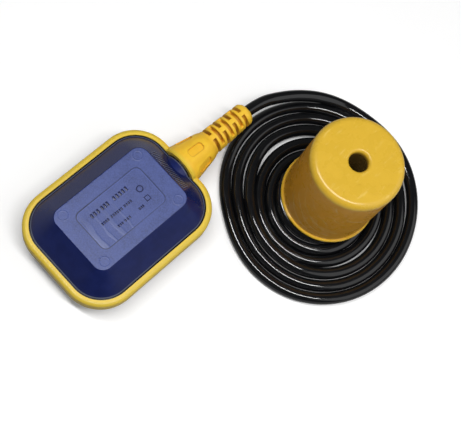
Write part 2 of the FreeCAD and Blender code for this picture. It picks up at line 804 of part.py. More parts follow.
def stand_weight(shape):
    """Move a counterweight piece from its own axis to its place on the coil."""
    return shape.translated(weight_centre + Vector(0, 0, coil_height))


def counterweight_shell():
    """Yellow cover: tapered side, rounded top and the tube round the bore."""
    z0 = weight_flange_height
    outside = Part.makeCone(weight_foot_radius, weight_top_radius, weight_height - z0, Vector(0, 0, z0))
    top_edges = [edge for edge in outside.Edges if edge.BoundBox.ZMin > weight_height - 0.001]
    outside = outside.makeFillet(weight_edge, top_edges)
    roof = weight_height - weight_wall
    hollow = Part.makeCone(weight_foot_radius - weight_wall, weight_top_radius - weight_wall, roof - z0, Vector(0, 0, z0))
    hollow_edges = [edge for edge in hollow.Edges if edge.BoundBox.ZMin > roof - 0.001]
    hollow = hollow.makeFillet(weight_edge - weight_wall * 0.5, hollow_edges)
    tube = rod(weight_bore_radius + weight_bore_wall, roof - z0 - spigot_height, Vector(0, 0, z0 + spigot_height))
    body = outside.cut(hollow).fuse(tube)
    body = body.cut(rod(weight_bore_radius, weight_height, Vector(0, 0, 0)))
    lip = [edge for edge in body.Edges if edge.BoundBox.ZMin > weight_height - 0.001 and edge.BoundBox.XMax < weight_bore_radius + 0.1]
    return stand_weight(body.makeFillet(weight_bore_lip, lip))


def counterweight_base():
    """Base: flange, spigot inside the cover and the recess for the locking ring."""
    flange = rod(weight_flange_radius, weight_flange_height, Vector(0, 0, 0))
    flange = flange.makeChamfer(0.6, [edge for edge in flange.Edges if len(edge.Vertexes) == 1])
    spigot_radius = weight_foot_radius - weight_wall - hole_clearance
    spigot = ring_about_weight(spigot_radius, spigot_radius - spigot_wall, weight_flange_height, weight_flange_height + spigot_height)
    hub_radius = lock_ring_radius + hole_clearance + spigot_wall
    hub = rod(hub_radius, weight_flange_height + spigot_height, Vector(0, 0, 0))
    body = flange.fuse([spigot, hub])
    recess = rod(lock_ring_radius + hole_clearance, lock_ring_height, Vector(0, 0, 0))
    bore = rod(weight_bore_radius, weight_flange_height + spigot_height, Vector(0, 0, 0))
    return stand_weight(body.cut([recess, bore]))


def counterweight_ballast():
    """Iron ring clamped between the base's spigot and the cover."""
    z0 = weight_flange_height + spigot_height
    outer = weight_foot_radius - weight_wall - 2.0 * hole_clearance
    inner = weight_bore_radius + weight_bore_wall + hole_clearance
    ring = ring_about_weight(outer, inner, z0, z0 + ballast_height)
    return stand_weight(ring)


def cable_lock_ring():
    """Split ring that grips the cable under the counterweight, kept in the base's recess."""
    ring = ring_about_weight(lock_ring_radius, cable_radius, 0, lock_ring_height)
    ring = ring.makeChamfer(0.5, [edge for edge in ring.Edges if len(edge.Vertexes) == 1 and edge.BoundBox.XLength > 2 * cable_radius + 1])
    gap = block(0, lock_ring_radius + 1.0, -lock_ring_gap / 2.0, lock_ring_gap / 2.0, 0, lock_ring_height)
    return stand_weight(ring.cut(gap))


nodes = {
    "upper_float_shell": upper_float_shell(),
    "lower_float_shell": lower_float_shell(),
    "sealing_rim": sealing_rim(),
    "switch_carrier": switch_carrier(),
    "carrier_lid": carrier_lid(),
    "carrier_screws": carrier_screws(),
    "steel_ball": steel_ball(),
    "microswitch_case": microswitch_case(),
    "microswitch_cover": microswitch_cover(),
    "microswitch_screws": microswitch_screws(),
    "switch_lever": switch_lever(),
    "lever_pin": lever_pin(),
    "switch_plunger": switch_plunger(),
    "contact_blade": contact_blade(),
    "moving_contact": moving_contact(),
    "fixed_contacts": fixed_contacts(),
    "common_terminal": common_terminal(),
    "normally_open_terminal": normally_open_terminal(),
    "normally_closed_terminal": normally_closed_terminal(),
    "tab_connectors": tab_connectors(),
    "brown_core": inner_core("common"),
    "blue_core": inner_core("open"),
    "black_core": inner_core("closed"),
    "cable_sheath_end": cable_sheath_end(),
    "cable_lead": cable_lead(),
    "cable_coil": cable_coil(),
    "brown_tail": tail_core(0),
    "blue_tail": tail_core(1),
    "black_tail": tail_core(2),
    "copper_ends": copper_ends(),
    "counterweight_shell": counterweight_shell(),
    "counterweight_base": counterweight_base(),
    "counterweight_ballast": counterweight_ballast(),
    "cable_lock_ring": cable_lock_ring(),
}

for name, shape in nodes.items():
    shape.exportStep("parts/%s.step" % name)
    if not shape.isValid():
        print("not valid:", name)
print("ball travels %.2f from %.2f to %.2f" % (ball_travel, ball_start_x, ball_end_x))
print("lever swing %.3f deg about (%.2f, %.2f)" % (lever_swing, lever_pin_x, lever_pin_y))
print("blade swing %.3f deg about (%.2f, %.2f)" % (math.degrees(blade_swing), blade_x, blade_pivot_y))
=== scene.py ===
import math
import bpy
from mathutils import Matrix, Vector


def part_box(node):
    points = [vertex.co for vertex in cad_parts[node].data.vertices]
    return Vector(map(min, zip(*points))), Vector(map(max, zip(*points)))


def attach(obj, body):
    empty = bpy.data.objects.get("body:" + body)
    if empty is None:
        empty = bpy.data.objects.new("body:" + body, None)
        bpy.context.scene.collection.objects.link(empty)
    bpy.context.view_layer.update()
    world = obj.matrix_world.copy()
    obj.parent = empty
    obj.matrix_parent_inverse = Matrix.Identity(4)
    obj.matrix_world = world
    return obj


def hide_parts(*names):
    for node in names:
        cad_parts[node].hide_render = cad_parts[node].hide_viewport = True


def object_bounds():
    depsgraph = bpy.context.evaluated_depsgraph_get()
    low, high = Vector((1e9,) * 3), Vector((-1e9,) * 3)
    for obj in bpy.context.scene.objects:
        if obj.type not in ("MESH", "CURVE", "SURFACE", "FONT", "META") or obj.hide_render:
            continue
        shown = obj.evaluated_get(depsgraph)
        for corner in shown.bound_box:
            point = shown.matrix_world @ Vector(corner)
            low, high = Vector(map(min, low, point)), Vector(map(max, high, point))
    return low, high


bl_info = {
    "name": "Tilting float level switch",
    "version": (1, 0, 0),
    "blender": (4, 5, 0),
    "location": "View3D > Sidebar > Float switch",
    "description": "Dresses the float, its coiled cable, the counterweight and the stage",
    "category": "Object",
}

import bmesh
import bpy
from mathutils import Matrix, Vector

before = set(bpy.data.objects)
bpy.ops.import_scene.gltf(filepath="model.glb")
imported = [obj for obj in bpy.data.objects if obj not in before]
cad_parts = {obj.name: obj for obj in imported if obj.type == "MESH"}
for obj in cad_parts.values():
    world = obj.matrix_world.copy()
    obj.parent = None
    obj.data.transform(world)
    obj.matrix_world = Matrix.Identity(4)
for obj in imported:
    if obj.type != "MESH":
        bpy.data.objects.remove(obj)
CAD_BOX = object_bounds()
ROOT = "float_body"
FACE_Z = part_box("upper_float_shell")[1].z
WEIGHT_LOW, WEIGHT_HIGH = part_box("counterweight_shell")
WEIGHT_MIDDLE = (WEIGHT_LOW + WEIGHT_HIGH) / 2.0


# ---------------------------------------------------------------- settings
class FloatSwitchCamera(bpy.types.PropertyGroup):
    """Where the picture is taken from."""

    place: bpy.props.FloatVectorProperty(
        name="Place", description="Where the camera stands", default=(-0.14194, -0.09538, 0.57635),
        subtype="XYZ", unit="LENGTH")
    side: bpy.props.FloatVectorProperty(
        name="Side", description="Direction of the picture's right-hand side",
        default=(0.712314, -0.67645, 0.187146), subtype="DIRECTION")
    upward: bpy.props.FloatVectorProperty(
        name="Up", description="Direction of the picture's top", default=(0.621648, 0.731849, 0.279197),
        subtype="DIRECTION")
    lens: bpy.props.FloatProperty(
        name="Lens", description="Focal length on a 36 mm frame", default=74.909, min=10.0,
        unit="CAMERA")


class FloatSwitchCable(bpy.types.PropertyGroup):
    """Sizes and finish of the cable."""

    radius: bpy.props.FloatProperty(
        name="Radius", description="Radius of the sheath", default=0.0038, min=0.001, unit="LENGTH")
    coil_place: bpy.props.FloatVectorProperty(
        name="Coil centre", description="Middle of the coil on the floor", size=2,
        default=(0.1115, -0.0718), unit="LENGTH")
    points_per_turn: bpy.props.IntProperty(
        name="Points per turn", description="Control points in each turn", default=24, min=12)
    colour: bpy.props.FloatVectorProperty(
        name="Sheath colour", description="Black of the sheath", default=(0.0045, 0.0048, 0.0056),
        subtype="COLOR")


class FloatSwitchFloat(bpy.types.PropertyGroup):
    """Sizes and colours of the float."""

    slope_colour: bpy.props.FloatVectorProperty(
        name="Slope colour", description="Glossy blue of the slopes", default=(0.0060, 0.0130, 0.088),
        subtype="COLOR")
    face_colour: bpy.props.FloatVectorProperty(
        name="Face colour", description="Grained blue of the raised faces",
        default=(0.052, 0.076, 0.236), subtype="COLOR")
    rim_colour: bpy.props.FloatVectorProperty(
        name="Rim colour", description="Yellow of the rim", default=(0.700, 0.505, 0.050),
        subtype="COLOR")
    neck_colour: bpy.props.FloatVectorProperty(
        name="Neck colour", description="Yellow of the neck and strain relief",
        default=(0.930, 0.545, 0.034), subtype="COLOR")
    mark_radius: bpy.props.FloatProperty(
        name="Mark radius", description="Radius of the round moulding marks", default=0.0030,
        unit="LENGTH")
    relief_height: bpy.props.FloatProperty(
        name="Sign height", description="How far the plain signs stand up", default=0.00035,
        unit="LENGTH")
    sign_colour: bpy.props.FloatVectorProperty(
        name="Sign colour", description="Blue of the raised signs", default=(0.008, 0.012, 0.062),
        subtype="COLOR")


class FloatSwitchWeight(bpy.types.PropertyGroup):
    """Form and colours of the counterweight."""

    foot_radius: bpy.props.FloatProperty(
        name="Foot radius", description="Radius of the cover where it meets the flange", default=0.0297,
        unit="LENGTH")
    edge: bpy.props.FloatProperty(
        name="Top edge", description="Rounding of the cover's top edge", default=0.0044,
        unit="LENGTH")
    lip: bpy.props.FloatProperty(
        name="Bore lip", description="Rounding of the bore's mouth", default=0.0020, unit="LENGTH")
    wall: bpy.props.FloatProperty(
        name="Wall", description="Thickness of the cover", default=0.0022, unit="LENGTH")
    bore_radius: bpy.props.FloatProperty(
        name="Bore radius", description="Radius of the cable's bore", default=0.0061, unit="LENGTH")
    colour: bpy.props.FloatVectorProperty(
        name="Weight colour", description="Yellow of the counterweight", default=(0.700, 0.437, 0.036),
        subtype="COLOR")
    ring_colour: bpy.props.FloatVectorProperty(
        name="Ring colour", description="Grey of the cable lock ring", default=(0.20, 0.21, 0.22),
        subtype="COLOR")


class FloatSwitchStage(bpy.types.PropertyGroup):
    """Floor and lights."""

    floor_white: bpy.props.FloatProperty(
        name="Floor", description="How white the floor is", default=0.95, min=0.0, max=1.0)
    floor_bounce: bpy.props.FloatProperty(
        name="Floor bounce", description="How much light the floor throws back at the part", default=0.40,
        min=0.0, max=1.0)
    floor_lift: bpy.props.FloatProperty(
        name="Floor lift", description="Extra white of the floor as seen directly", default=0.12, min=0.0)
    overhead: bpy.props.FloatProperty(
        name="Overhead light", description="Power of the light above", default=9.0, min=0.0,
        unit="POWER")
    fill: bpy.props.FloatProperty(
        name="Fill light", description="Power of the wide light at the cable's side", default=4.4,
        min=0.0, unit="POWER")
    zenith: bpy.props.FloatProperty(
        name="Surround above", description="Strength of the surround straight above", default=0.07,
        min=0.0)
    horizon: bpy.props.FloatProperty(
        name="Surround at the sides", description="Strength of the surround at floor level",
        default=0.03, min=0.0)
    pale_side: bpy.props.FloatProperty(
        name="Pale side", description="Extra strength of the surround beyond the float's far side",
        default=0.14, min=0.0)


# ---------------------------------------------------------------- places and colours on the part
# Outlines on the float seen from above: half length, half width and corner radius.
FACE_OUTLINE = (0.03505, 0.02270, 0.00655)
PANEL_OUTLINE = (0.0245, 0.0137, 0.004)
JOINT_OUTLINE = (0.0489, 0.03655, 0.0204)
POCKET_OUTLINE = (0.00575, 0.0027, 0.0020)
PANEL_DEPTH = 0.0005
MARK_PLACE = (0.0288, 0.0180)
MARK_LINE = 0.0005
# Flow streaks across the panel: place along it, half width and strength.
PANEL_STREAKS = (
    (-0.0218, 0.0022, 1.0),
    (-0.0150, 0.0009, 0.75),
    (-0.0090, 0.0016, 0.50),
    (-0.0020, 0.0008, 0.35),
)
COMB_PLACE = 0.03905
COMB_PITCH = 0.0012
AXIS_HEIGHT = 0.02075
NECK_START = (0.0500, 0.0530)
POCKET_PLACE = 0.0619
RELIEF_RUN = (0.0747, 0.1064)
RELIEF_RADII = (0.0087, 0.0075)
SIDE_RADIUS = 0.029
STREAK_BLUE = (0.150, 0.180, 0.350)
# Painted highlight on the tops of the fine ribs.
RIB_TOP_HIGHLIGHT_BLUE = (0.130, 0.140, 0.210)
# Painted shade in the gap between the slopes and the rim, and a painted highlight on the lip beside it.
GAP_SHADE_BLACK = (0.006, 0.006, 0.010)
LIP_HIGHLIGHT_GREY = (0.110, 0.125, 0.170)
STREAK_YELLOW = (0.90, 0.66, 0.30)
SCUFF_YELLOW = (0.92, 0.68, 0.20)
# Painted dark shade inside the counterweight's bore.
BORE_SHADE_BROWN = (0.115, 0.070, 0.018)
WHITE = (1.0, 1.0, 1.0, 1.0)


# ---------------------------------------------------------------- material making
def fresh_material(name):
    """An empty node material with its surface shader."""
    material = bpy.data.materials.new(name)
    material.use_nodes = True
    return material, material.node_tree, material.node_tree.nodes["Principled BSDF"]


def add(tree, kind, **settings):
    """A shader node with its settings."""
    node = tree.nodes.new(kind)
    for key, value in settings.items():
        setattr(node, key, value)
    return node


def math_node(tree, operation, *values):
    """One sum on sockets or numbers; gives its result socket."""
    node = add(tree, "ShaderNodeMath", operation=operation)
    for socket, value in zip(node.inputs, values):
        if isinstance(value, (int, float)):
            socket.default_value = value
        else:
            tree.links.new(value, socket)
    return node.outputs[0]


def times(tree, first, second):
    """One value times another."""
    return math_node(tree, "MULTIPLY", first, second)


def minus(tree, first, second):
    """One value less another."""
    return math_node(tree, "SUBTRACT", first, second)


def gap(tree, value, middle):
    """How far a value is from a middle one, on either side."""
    return math_node(tree, "ABSOLUTE", minus(tree, value, middle))


def distance(tree, across, along):
    """Distance of a place from an axis."""
    return math_node(tree, "SQRT", math_node(tree, "MULTIPLY_ADD", across, across, times(tree, along, along)))


def object_place(tree):
    """Sockets of the place on the object, in metres: the vector, x, y and z."""
    vector = add(tree, "ShaderNodeTexCoord").outputs["Object"]
    parts = add(tree, "ShaderNodeSeparateXYZ")
    tree.links.new(vector, parts.inputs[0])
    return vector, parts.outputs[0], parts.outputs[1], parts.outputs[2]


def stretched(tree, vector, scale):
    """The place with each direction drawn out by its own scale."""
    mapping = add(tree, "ShaderNodeMapping")
    mapping.inputs["Scale"].default_value = scale
    tree.links.new(vector, mapping.inputs["Vector"])
    return mapping.outputs[0]


def noise(tree, vector, scale, detail=3.0, roughness=0.55):
    """Noise of a scale, in features a metre."""
    node = add(tree, "ShaderNodeTexNoise")
    node.inputs["Scale"].default_value = scale
    node.inputs["Detail"].default_value = detail
    node.inputs["Roughness"].default_value = roughness
    tree.links.new(vector, node.inputs["Vector"])
    return node.outputs["Fac"]


def ranged(tree, value, low, high, out_low=0.0, out_high=1.0, curve="SMOOTHSTEP"):
    """A value taken from one range to another."""
    node = add(tree, "ShaderNodeMapRange", interpolation_type=curve)
    for socket, number in zip(list(node.inputs)[1:5], (low, high, out_low, out_high)):
        socket.default_value = number
    tree.links.new(value, node.inputs[0])
    return node.outputs[0]


def below(tree, value, low, high):
    """A mask that is 1 up to the low value and fades out at the high one."""
    return ranged(tree, value, low, high, 1.0, 0.0)


def mixed(tree, factor, first, second):
    """Two colours mixed by a factor; each colour is a socket or three numbers."""
    node = add(tree, "ShaderNodeMix", data_type="RGBA")
    if isinstance(factor, float):
        node.inputs[0].default_value = factor
    else:
        tree.links.new(factor, node.inputs[0])
    for socket, colour in ((node.inputs[6], first), (node.inputs[7], second)):
        if isinstance(colour, bpy.types.NodeSocket):
            tree.links.new(colour, socket)
        else:
            socket.default_value = (*colour, 1.0)
    return node.outputs[2]


def shaded(colour, amount):
    """A colour made lighter or darker."""
    return tuple(min(1.0, channel * amount) for channel in colour)


def bumped(tree, shader, height, strength, depth=0.0002):
    """Bump from a height socket into the shader."""
    bump = add(tree, "ShaderNodeBump")
    bump.inputs["Strength"].default_value = strength
    bump.inputs["Distance"].default_value = depth
    tree.links.new(height, bump.inputs["Height"])
    tree.links.new(bump.outputs[0], shader.inputs["Normal"])


def pale_edges(tree, base, colour):
    """The base colour with paler outer edges."""
    pointed = add(tree, "ShaderNodeNewGeometry").outputs["Pointiness"]
    return mixed(tree, times(tree, ranged(tree, pointed, 0.505, 0.56), 0.35), base, shaded(colour, 1.25))


def moulded_plastic(name, colour, roughness, grain=1500.0, grain_strength=0.06, mottle=260.0):
    """Moulded plastic: slightly mottled colour, fine skin grain and paler edges."""
    material, tree, shader = fresh_material(name)
    vector = object_place(tree)[0]
    cloud = ranged(tree, noise(tree, vector, mottle, 4.0), 0.3, 0.7)
    base = mixed(tree, cloud, shaded(colour, 0.93), shaded(colour, 1.05))
    tree.links.new(pale_edges(tree, base, colour), shader.inputs["Base Color"])
    skin = noise(tree, vector, grain, 2.0)
    rough = ranged(tree, skin, 0.2, 0.8, roughness - 0.05, roughness + 0.07)
    tree.links.new(rough, shader.inputs["Roughness"])
    bumped(tree, shader, skin, grain_strength)
    return material


def bare_metal(name, colour, roughness, brushed=(1.0, 1.0, 1.0), scale=900.0):
    """Metal with fine drawn or turned marks."""
    material, tree, shader = fresh_material(name)
    vector = stretched(tree, object_place(tree)[0], brushed)
    marks = noise(tree, vector, scale, 5.0, 0.6)
    tree.links.new(mixed(tree, marks, shaded(colour, 0.82), shaded(colour, 1.1)), shader.inputs["Base Color"])
    rough = ranged(tree, marks, 0.2, 0.8, roughness * 0.7, roughness * 1.4)
    tree.links.new(rough, shader.inputs["Roughness"])
    shader.inputs["Metallic"].default_value = 1.0
    bumped(tree, shader, marks, 0.08, 0.0001)
    return material


def outside(tree, x, y, half_length, half_width, corner):
    """How far outside a round-cornered outline a place is; below zero inside it."""
    over_x = minus(tree, math_node(tree, "ABSOLUTE", x), half_length - corner)
    over_y = minus(tree, math_node(tree, "ABSOLUTE", y), half_width - corner)
    beyond = distance(tree, math_node(tree, "MAXIMUM", over_x, 0.0), math_node(tree, "MAXIMUM", over_y, 0.0))
    within = math_node(tree, "MINIMUM", math_node(tree, "MAXIMUM", over_x, over_y), 0.0)
    return minus(tree, math_node(tree, "ADD", beyond, within), corner)


def line_mask(tree, value, place, half_width):
    """Mask of a thin line where a value passes a place."""
    return below(tree, gap(tree, value, place), half_width * 0.4, half_width)


def ring_marks(tree, x, y, radius):
    """Mask of four round moulding marks, one near each corner of the face."""
    from_x = minus(tree, math_node(tree, "ABSOLUTE", x), MARK_PLACE[0])
    from_y = minus(tree, math_node(tree, "ABSOLUTE", y), MARK_PLACE[1])
    return below(tree, gap(tree, distance(tree, from_x, from_y), radius), 0.0, MARK_LINE)


def flow_streaks(tree, vector, x, y):
    """Mask of the pale wavering flow streaks that cross one end of the panel."""
    waver = times(tree, minus(tree, noise(tree, vector, 75.0, 2.0), 0.5), 0.0045)
    bent = math_node(tree, "ADD", x, waver)
    streaks = 0.0
    for place, half_width, strength in PANEL_STREAKS:
        streak = times(tree, line_mask(tree, bent, place, half_width), strength)
        streaks = math_node(tree, "MAXIMUM", streaks, streak)
    fade = ranged(tree, times(tree, y, -1.0), -0.009, 0.010, 0.15, 1.0)
    return times(tree, streaks, fade)


def rib_top_highlight_mask(tree, x, y, z):
    """Mask of the painted highlights on the tops of the fine ribs on the slope at the cable's side."""
    part = math_node(tree, "FRACT", math_node(tree, "MULTIPLY_ADD", y, 1.0 / COMB_PITCH, 100.5))
    tops = below(tree, gap(tree, part, 0.5), 0.12, 0.26)
    run = below(tree, gap(tree, x, COMB_PLACE), 0.0021, 0.0027)
    width = below(tree, math_node(tree, "ABSOLUTE", y), 0.0150, 0.0154)
    upper = ranged(tree, z, 0.0205, 0.0215)
    return times(tree, times(tree, tops, run), times(tree, width, upper))


def face_paint(tree, colour, vector, x, panel_edge, grain, streaks):
    """Grained colour of the raised face, with its flow streaks, a painted shade line along the panel's
    recessed outline and a painted highlight line just inside it.
    """
    paint = mixed(tree, ranged(tree, grain, 0.30, 0.70), shaded(colour, 0.76), shaded(colour, 1.26))
    pale = ranged(tree, noise(tree, vector, 85.0, 2.0), 0.35, 0.65, 0.0, 0.30)
    paint = mixed(tree, pale, paint, shaded(colour, 1.5))
    paint = mixed(tree, times(tree, streaks, 0.6), paint, STREAK_BLUE)
    # Painted shade along the step of the panel's recessed outline, stronger towards -x, and a painted
    # highlight just inside it.
    shade_towards_low_x = ranged(tree, x, -0.022, 0.010, 0.90, 0.45)
    painted_step_shade = times(tree, line_mask(tree, panel_edge, 0.0001, 0.0005), shade_towards_low_x)
    paint = mixed(tree, painted_step_shade, paint, shaded(colour, 0.30))
    painted_step_highlight = times(tree, line_mask(tree, panel_edge, -0.0006, 0.0003), 0.45)
    return mixed(tree, painted_step_highlight, paint, shaded(colour, 1.7))


def slope_paint(tree, colour, x, y, z, cloud):
    """Deep colour of the slopes, with painted highlights on the tops of the fine ribs, painted shade in the
    gap at the rim and a painted highlight on the lip beside it.
    """
    joint = outside(tree, x, y, *JOINT_OUTLINE)
    paint = mixed(tree, ranged(tree, cloud, 0.3, 0.7), shaded(colour, 0.9), shaded(colour, 1.1))
    # Painted highlight on the tops of the fine ribs.
    paint = mixed(tree, times(tree, rib_top_highlight_mask(tree, x, y, z), 0.75), paint, RIB_TOP_HIGHLIGHT_BLUE)
    # Painted shade in the gap at the rim, then a painted highlight on the lip's edge.
    paint = mixed(tree, ranged(tree, joint, -0.0009, -0.0005), paint, GAP_SHADE_BLACK)
    return mixed(tree, times(tree, line_mask(tree, joint, -0.0009, 0.0004), 0.8), paint, LIP_HIGHLIGHT_GREY)


def float_blue(sizes):
    """Blue of a float shell: glossy slopes, a paler grained raised face, and painted shade in the gap at the
    rim with a painted highlight on the lip beside it.
    """
    material, tree, shader = fresh_material("float_shell_blue")
    vector, x, y, z = object_place(tree)
    face = below(tree, outside(tree, x, y, *FACE_OUTLINE), -0.0003, 0.0001)
    panel_edge = outside(tree, x, y, *PANEL_OUTLINE)
    panel = below(tree, panel_edge, -0.0002, 0.0002)
    grain = noise(tree, vector, 1100.0, 4.0, 0.7)
    cloud = noise(tree, vector, 120.0, 3.0, 0.6)
    streaks = times(tree, flow_streaks(tree, vector, x, y), panel)
    pale = face_paint(tree, sizes.face_colour, vector, x, panel_edge, grain, streaks)
    deep = slope_paint(tree, sizes.slope_colour, x, y, z, cloud)
    tree.links.new(mixed(tree, face, deep, pale), shader.inputs["Base Color"])
    rough = add(tree, "ShaderNodeMix", data_type="FLOAT")
    tree.links.new(face, rough.inputs[0])
    tree.links.new(ranged(tree, cloud, 0.2, 0.8, 0.20, 0.26), rough.inputs[2])
    tree.links.new(ranged(tree, grain, 0.2, 0.8, 0.36, 0.52), rough.inputs[3])
    tree.links.new(rough.outputs[0], shader.inputs["Roughness"])
    marks = times(tree, ring_marks(tree, x, y, sizes.mark_radius), 1.3)
    height = math_node(tree, "ADD", times(tree, grain, face), marks)
    height = math_node(tree, "ADD", height, times(tree, streaks, 2.0))
    bumped(tree, shader, height, 0.45)
    return material


def pocket_shade_lines(tree, x, y, up, radius):
    """Mask of painted shade lines along the outlines of the six pockets round the neck."""
    sixth = math.pi / 3.0
    turn = math_node(tree, "ARCTAN2", y, up)
    nearest = math_node(tree, "ROUND", math_node(tree, "DIVIDE", turn, sixth))
    left_over = minus(tree, turn, times(tree, nearest, sixth))
    across = times(tree, math_node(tree, "SINE", left_over), radius)
    edge = outside(tree, minus(tree, x, POCKET_PLACE), across, *POCKET_OUTLINE)
    return times(tree, line_mask(tree, edge, -0.0001, 0.0005), ranged(tree, radius, 0.008, 0.009))


def rim_yellow(sizes):
    """Yellow of the rim, neck and strain relief, with painted brown shade down in the slots and along the
    pockets' outlines.
    """
    material, tree, shader = fresh_material("rim_yellow")
    vector, x, y, z = object_place(tree)
    up = minus(tree, z, AXIS_HEIGHT)
    radius = distance(tree, y, up)
    outer = ranged(tree, x, *RELIEF_RUN, *RELIEF_RADII, "LINEAR")
    # Painted shade: browner deeper down in the slots of the strain relief.
    slots = ranged(tree, minus(tree, outer, radius), 0.0004, 0.0028)
    slots = times(tree, slots, ranged(tree, x, 0.0745, 0.0750))
    cloud = ranged(tree, noise(tree, vector, 180.0, 4.0), 0.3, 0.7)
    colour = tuple(sizes.neck_colour)
    base = mixed(tree, ranged(tree, x, *NECK_START), tuple(sizes.rim_colour), colour)
    base = mixed(tree, times(tree, cloud, 0.6), base, mixed(tree, 0.92, (0.0, 0.0, 0.0), base))
    base = pale_edges(tree, base, colour)
    # The brown of the painted shade in the slots and along the pockets' outlines.
    brown = (colour[0] * 0.50, colour[1] * 0.34, colour[2] * 0.35)
    base = mixed(tree, times(tree, slots, 0.75), base, brown)
    base = mixed(tree, times(tree, pocket_shade_lines(tree, x, y, up, radius), 0.36), base, brown)
    tree.links.new(base, shader.inputs["Base Color"])
    skin = noise(tree, vector, 900.0, 2.0)
    tree.links.new(ranged(tree, skin, 0.2, 0.8, 0.35, 0.47), shader.inputs["Roughness"])
    bumped(tree, shader, skin, 0.10)
    return material


def flow_lines(tree, vector, x, y, z):
    """Mask of the curved flow lines that sweep down and round the counterweight's side."""
    back_x = minus(tree, WEIGHT_MIDDLE.x, x)
    back_y = minus(tree, WEIGHT_MIDDLE.y, y)
    turn = math_node(tree, "ADD", math_node(tree, "ARCTAN2", back_y, back_x), 0.75)
    along = math_node(tree, "MAXIMUM", times(tree, turn, SIDE_RADIUS), 0.0)
    above = math_node(tree, "MAXIMUM", minus(tree, z, WEIGHT_LOW.z), 0.0)
    bow = math_node(tree, "SQRT", times(tree, along, above))
    drift = times(tree, noise(tree, vector, 38.0, 2.0), 1.1)
    wave = math_node(tree, "FRACT", math_node(tree, "MULTIPLY_ADD", bow, 165.0, drift))
    line = below(tree, gap(tree, wave, 0.5), 0.0, 0.11)
    broken = ranged(tree, noise(tree, vector, 55.0, 2.0), 0.42, 0.60)
    side = below(tree, z, WEIGHT_HIGH.z - 0.014, WEIGHT_HIGH.z - 0.006)
    side = times(tree, side, below(tree, turn, 1.9, 2.6))
    side = times(tree, side, ranged(tree, turn, 0.05, 0.35))
    return times(tree, times(tree, line, broken), side)


def bore_shade_mask(tree, x, y, z):
    """Mask of the bore's inside below its lip, where a dark brown shade is painted."""
    radius = distance(tree, minus(tree, x, WEIGHT_MIDDLE.x), minus(tree, y, WEIGHT_MIDDLE.y))
    deep = below(tree, z, WEIGHT_HIGH.z - 0.0050, WEIGHT_HIGH.z - 0.0015)
    return times(tree, below(tree, radius, 0.0064, 0.0068), deep)


def weight_yellow(colour):
    """Glossy yellow of the counterweight, with the curved flow lines of its moulding, a browner painted shade
    on its side and a painted dark shade inside its bore.
    """
    material, tree, shader = fresh_material("counterweight_yellow")
    vector, x, y, z = object_place(tree)
    cloud = noise(tree, vector, 90.0, 3.0)
    base = mixed(tree, ranged(tree, cloud, 0.3, 0.7), shaded(colour, 0.975), shaded(colour, 1.02))
    # Painted shade: the side below the top's rounded edge is tinted browner.
    flank_shade = below(tree, z, WEIGHT_HIGH.z - 0.0060, WEIGHT_HIGH.z - 0.0035)
    flank_shade = times(tree, flank_shade, ranged(tree, z, WEIGHT_LOW.z - 0.0002, WEIGHT_LOW.z + 0.0004))
    base = mixed(tree, flank_shade, base, (colour[0] * 1.04, colour[1] * 0.80, colour[2] * 0.70))
    base = mixed(tree, times(tree, flow_lines(tree, vector, x, y, z), 0.60), base, STREAK_YELLOW)
    drawn = noise(tree, stretched(tree, vector, (0.25, 1.0, 1.0)), 420.0, 2.0)
    scuffs = ranged(tree, drawn, 0.60, 0.72, 0.0, 0.35)
    on_top = ranged(tree, z, WEIGHT_HIGH.z - 0.001, WEIGHT_HIGH.z - 0.0005)
    base = mixed(tree, times(tree, scuffs, on_top), base, SCUFF_YELLOW)
    # Painted dark shade inside the bore below its lip.
    base = mixed(tree, bore_shade_mask(tree, x, y, z), base, BORE_SHADE_BROWN)
    tree.links.new(base, shader.inputs["Base Color"])
    tree.links.new(ranged(tree, cloud, 0.2, 0.8, 0.24, 0.32), shader.inputs["Roughness"])
    bumped(tree, shader, noise(tree, vector, 700.0, 2.0), 0.05)
    return material


def cable_sheath(colour):
    """Black plastic of the cable: glossy, with faint unevenness."""
    material, tree, shader = fresh_material("cable_black")
    vector = object_place(tree)[0]
    cloud = noise(tree, vector, 140.0, 3.0)
    tree.links.new(mixed(tree, cloud, shaded(colour, 0.7), shaded(colour, 1.5)), shader.inputs["Base Color"])
    tree.links.new(ranged(tree, cloud, 0.25, 0.75, 0.09, 0.13), shader.inputs["Roughness"])
    shader.inputs["Specular IOR Level"].default_value = 0.6
    bumped(tree, shader, noise(tree, vector, 420.0, 2.0), 0.05)
    return material


def dress(material, *nodes):
    """Give CAD nodes a material."""
    for node in nodes:
        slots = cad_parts[node].data.materials
        slots.clear()
        slots.append(material)


# ---------------------------------------------------------------- mesh and curve making
def placed(name, data):
    """An object of some data, in the scene."""
    piece = bpy.data.objects.new(name, data)
    bpy.context.scene.collection.objects.link(piece)
    return piece


def mesh_from(name, work):
    """A smooth-shaded mesh of a finished bmesh."""
    mesh = bpy.data.meshes.new(name)
    work.to_mesh(mesh)
    work.free()
    for face in mesh.polygons:
        face.use_smooth = True
    return mesh


def riding_piece(name, data, material):
    """A piece with its material and slot that rides on the float's body."""
    data.materials.append(material)
    piece = placed(name, data)
    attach(piece, ROOT)
    return piece


def mesh_piece(name, build, material, smooth_angle=30.0):
    """A mesh piece that a bmesh function builds."""
    work = bmesh.new()
    build(work)
    bmesh.ops.recalc_face_normals(work, faces=work.faces)
    mesh = mesh_from(name, work)
    mesh.set_sharp_from_angle(angle=math.radians(smooth_angle))
    return riding_piece(name, mesh, material)


def circle_points(count, start=0.0):
    """Cosine and sine of evenly spaced angles."""
    angles = (start + 2.0 * math.pi * index / count for index in range(count))
    return [(math.cos(angle), math.sin(angle)) for angle in angles]


def join_rings(work, low, high):
    """Faces between two closed rings of the same count."""
    for side in range(len(low)):
        following = (side + 1) % len(low)
        work.faces.new((low[side], low[following], high[following], high[side]))


